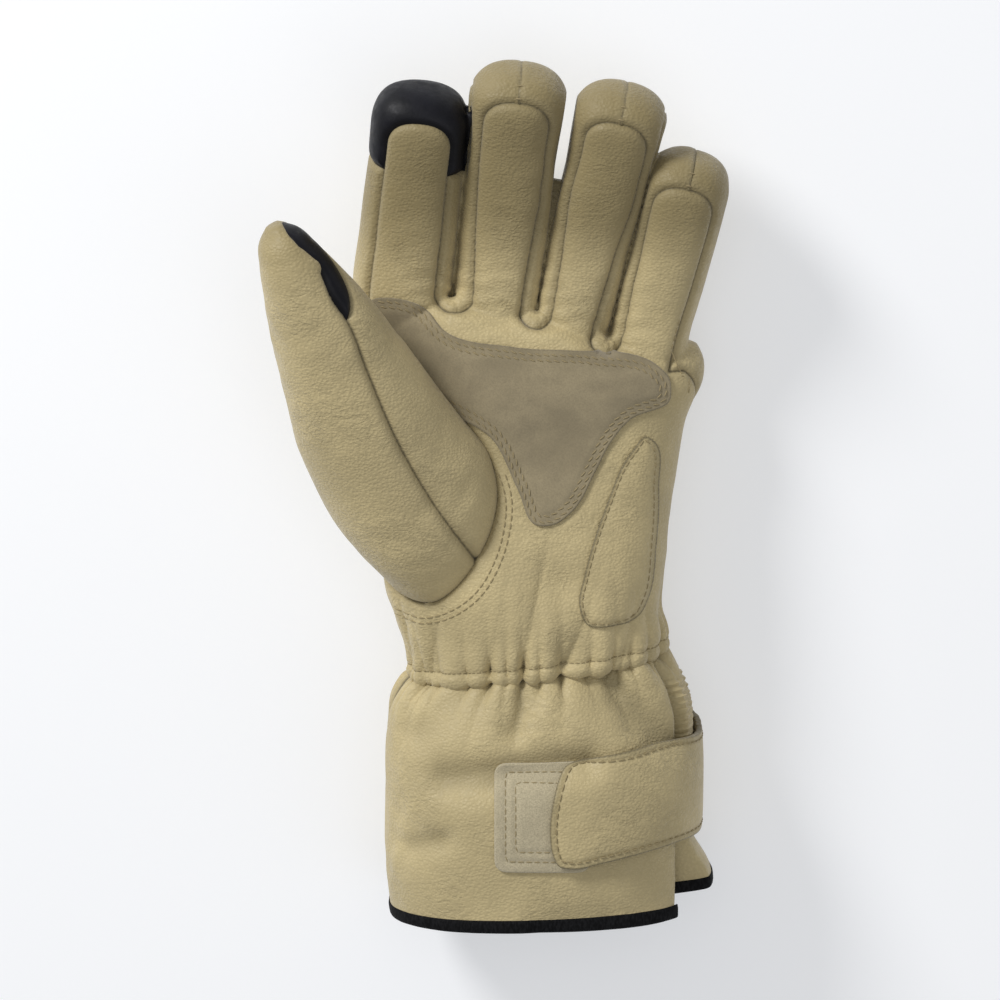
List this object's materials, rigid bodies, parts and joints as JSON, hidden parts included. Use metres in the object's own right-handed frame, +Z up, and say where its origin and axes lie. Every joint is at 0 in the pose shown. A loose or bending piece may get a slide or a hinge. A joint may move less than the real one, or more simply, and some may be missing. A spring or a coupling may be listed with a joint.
{
  "type": "heated glove",
  "caption": "Padded leather gauntlet glove for the left hand, with gathered wrist, suede palm patch, dark touch tips, bound hem and a closing strap.",
  "frame": {"origin": "middle of the underside of the whole glove, on the surface that it lies on", "axes": "+X from the thumb side towards the little finger side, +Y from the cuff towards the fingertips, +Z up from the back of the hand to the palm"},
  "size_m": [0.164, 0.3128, 0.0861],
  "materials": {
    "leather": "soft full-grain leather with a slight sheen",
    "suede": "brushed suede",
    "touch_leather": "smooth black conductive leather",
    "binding": "woven black binding tape",
    "loop_fabric": "brushed loop pile"
  },
  "bodies": {
    "root": {"palm_panel": "leather", "back_panel": "leather", "gusset_index_outer": "leather", "gusset_index_middle": "leather", "gusset_middle_ring": "leather", "gusset_ring_little": "leather", "gusset_little_outer": "leather", "index_touch_cap": "touch_leather", "thumb_outer_panel": "leather", "thumb_inner_panel": "leather", "thumb_touch_strip": "touch_leather", "palm_patch": "suede", "heel_pad": "leather", "cuff_palm_panel": "leather", "cuff_back_panel": "leather", "loop_patch": "loop_fabric", "closing_strap": "leather", "hem_binding_palm": "binding", "hem_binding_back": "binding"}
  },
  "joints": []
}
